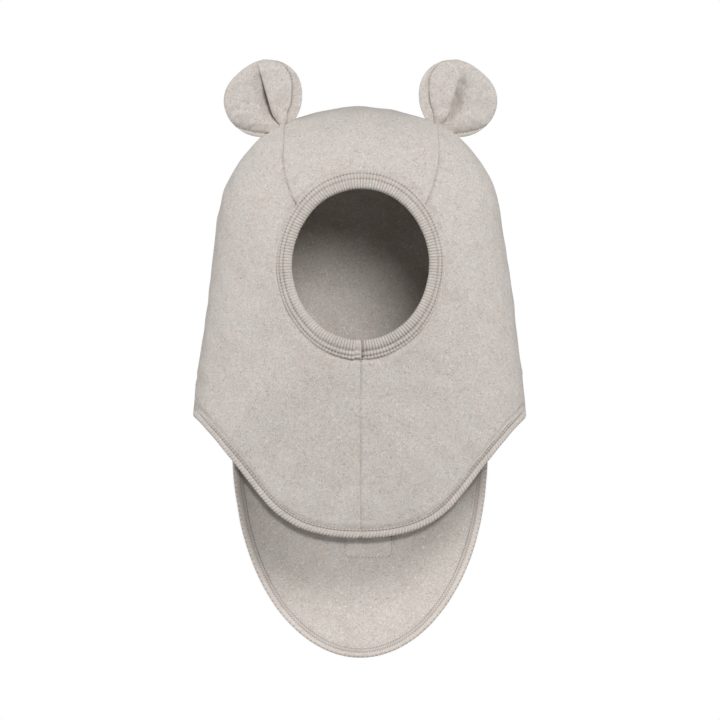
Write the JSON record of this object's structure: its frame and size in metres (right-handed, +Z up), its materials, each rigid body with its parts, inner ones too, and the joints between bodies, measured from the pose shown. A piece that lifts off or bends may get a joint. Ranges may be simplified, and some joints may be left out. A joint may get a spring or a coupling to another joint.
{
  "type": "balaclava",
  "caption": "Child's lined fleece balaclava with a ribbed round face opening, a rounded front bib, a longer rounded back flap and round pleated ears.",
  "frame": {"origin": "middle of the wearer's head, on the centre plane, level with the middle of the face opening", "axes": "+Z up to the crown, -Y out of the face opening, +X to the right when looking at the face"},
  "size_m": [0.2332, 0.1224, 0.4203],
  "materials": {
    "fleece": "brushed wool fleece, pale beige-grey melange",
    "lining": "soft knitted lining, pale beige-grey melange",
    "rib": "fine rib knit",
    "thread": "spun sewing thread",
    "overlock": "overlock thread over the cloth's edge"
  },
  "bodies": {
    "hood": {"outer_crown": "fleece", "outer_side_right": "fleece", "outer_side_left": "fleece", "lining_crown": "lining", "lining_side_right": "lining", "lining_side_left": "lining", "crown_seam_right": "thread", "crown_seam_left": "thread", "chin_seam": "thread", "face_band": "rib", "face_stitch_inner": "thread", "face_stitch_outer": "thread"},
    "front_bib": {"bib_outer_right": "fleece", "bib_outer_left": "fleece", "bib_lining_right": "lining", "bib_lining_left": "lining", "bib_seam": "thread", "front_hem": "overlock"},
    "back_flap": {"flap_outer": "fleece", "flap_lining": "lining", "back_hem": "overlock", "back_label": "fleece", "label_stitch": "thread"},
    "ear_right": {"ear_right_front": "fleece", "ear_right_back": "fleece", "ear_right_seam": "thread"},
    "ear_left": {"ear_left_front": "fleece", "ear_left_back": "fleece", "ear_left_seam": "thread"}
  },
  "joints": [
    {"name": "bib_lift", "type": "hinge", "parent": "hood", "child": "front_bib", "pos_m": [0, -0.0595, -0.094], "axis": [-1, 0, 0], "range_deg": [0, 60]},
    {"name": "flap_lift", "type": "hinge", "parent": "hood", "child": "back_flap", "pos_m": [0, 0.0514, -0.094], "axis": [1, 0, 0], "range_deg": [0, 60]},
    {"name": "ear_right_flop", "type": "hinge", "parent": "hood", "child": "ear_right", "pos_m": [0.057, -0.008, 0.097], "axis": [0.8746, 0, -0.4848], "range_deg": [-35, 35], "stiffness_Nm_per_rad": 0.02},
    {"name": "ear_left_flop", "type": "hinge", "parent": "hood", "child": "ear_left", "pos_m": [-0.057, -0.008, 0.097], "axis": [0.8746, 0, 0.4848], "range_deg": [-35, 35], "stiffness_Nm_per_rad": 0.02}
  ]
}
